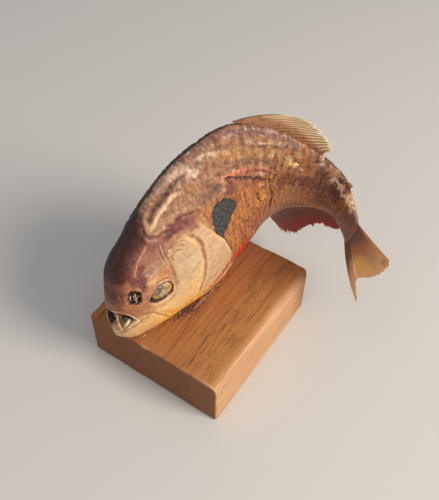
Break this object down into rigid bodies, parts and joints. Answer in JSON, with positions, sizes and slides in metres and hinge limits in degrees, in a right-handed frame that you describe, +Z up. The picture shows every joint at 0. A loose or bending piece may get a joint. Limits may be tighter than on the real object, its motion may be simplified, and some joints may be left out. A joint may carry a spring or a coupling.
{
  "type": "dried piranha mounted on a wooden block",
  "caption": "Dried piranha, head low and body bent sideways in a curve, glued by its belly keel to a small rounded-edge hardwood block that it stands on.",
  "frame": {"origin": "centre of the flat underside of the wooden block", "axes": "+Z up; +X along the block's long side, from the fish's head towards its tail; the fish's left side faces -Y"},
  "size_m": [0.0938, 0.0915, 0.0916],
  "materials": {
    "block_wood": "sealed hardwood, satin, long grain on top, end grain at both ends",
    "dried_glue": "set clear glue with crumbs",
    "skin": "dried, shrunken and varnished fish skin, semi-gloss",
    "dried_eye": "dried, collapsed eyeball under varnish",
    "teeth": "ivory enamel",
    "pale_fin": "dry bony rays with brittle membrane",
    "red_fin": "dry rays with maroon membrane",
    "tail_fin": "translucent ochre membrane on fine rays, dark at its root",
    "scales": "tiny varnished scales"
  },
  "bodies": {
    "root": {"block": "block_wood", "glue_left": "dried_glue", "glue_right": "dried_glue", "head": "skin", "lower_jaw": "skin", "gill_cover_left": "skin", "gill_cover_right": "skin", "eye_left": "dried_eye", "eye_right": "dried_eye", "trunk_front": "skin", "trunk_middle": "skin", "trunk_rear": "skin", "tail_stalk": "skin", "dorsal_fin": "pale_fin", "adipose_fin": "pale_fin", "anal_fin": "red_fin", "tail_fin_upper": "tail_fin", "tail_fin_lower": "tail_fin", "pectoral_fin_right": "pale_fin"}
  },
  "joints": []
}
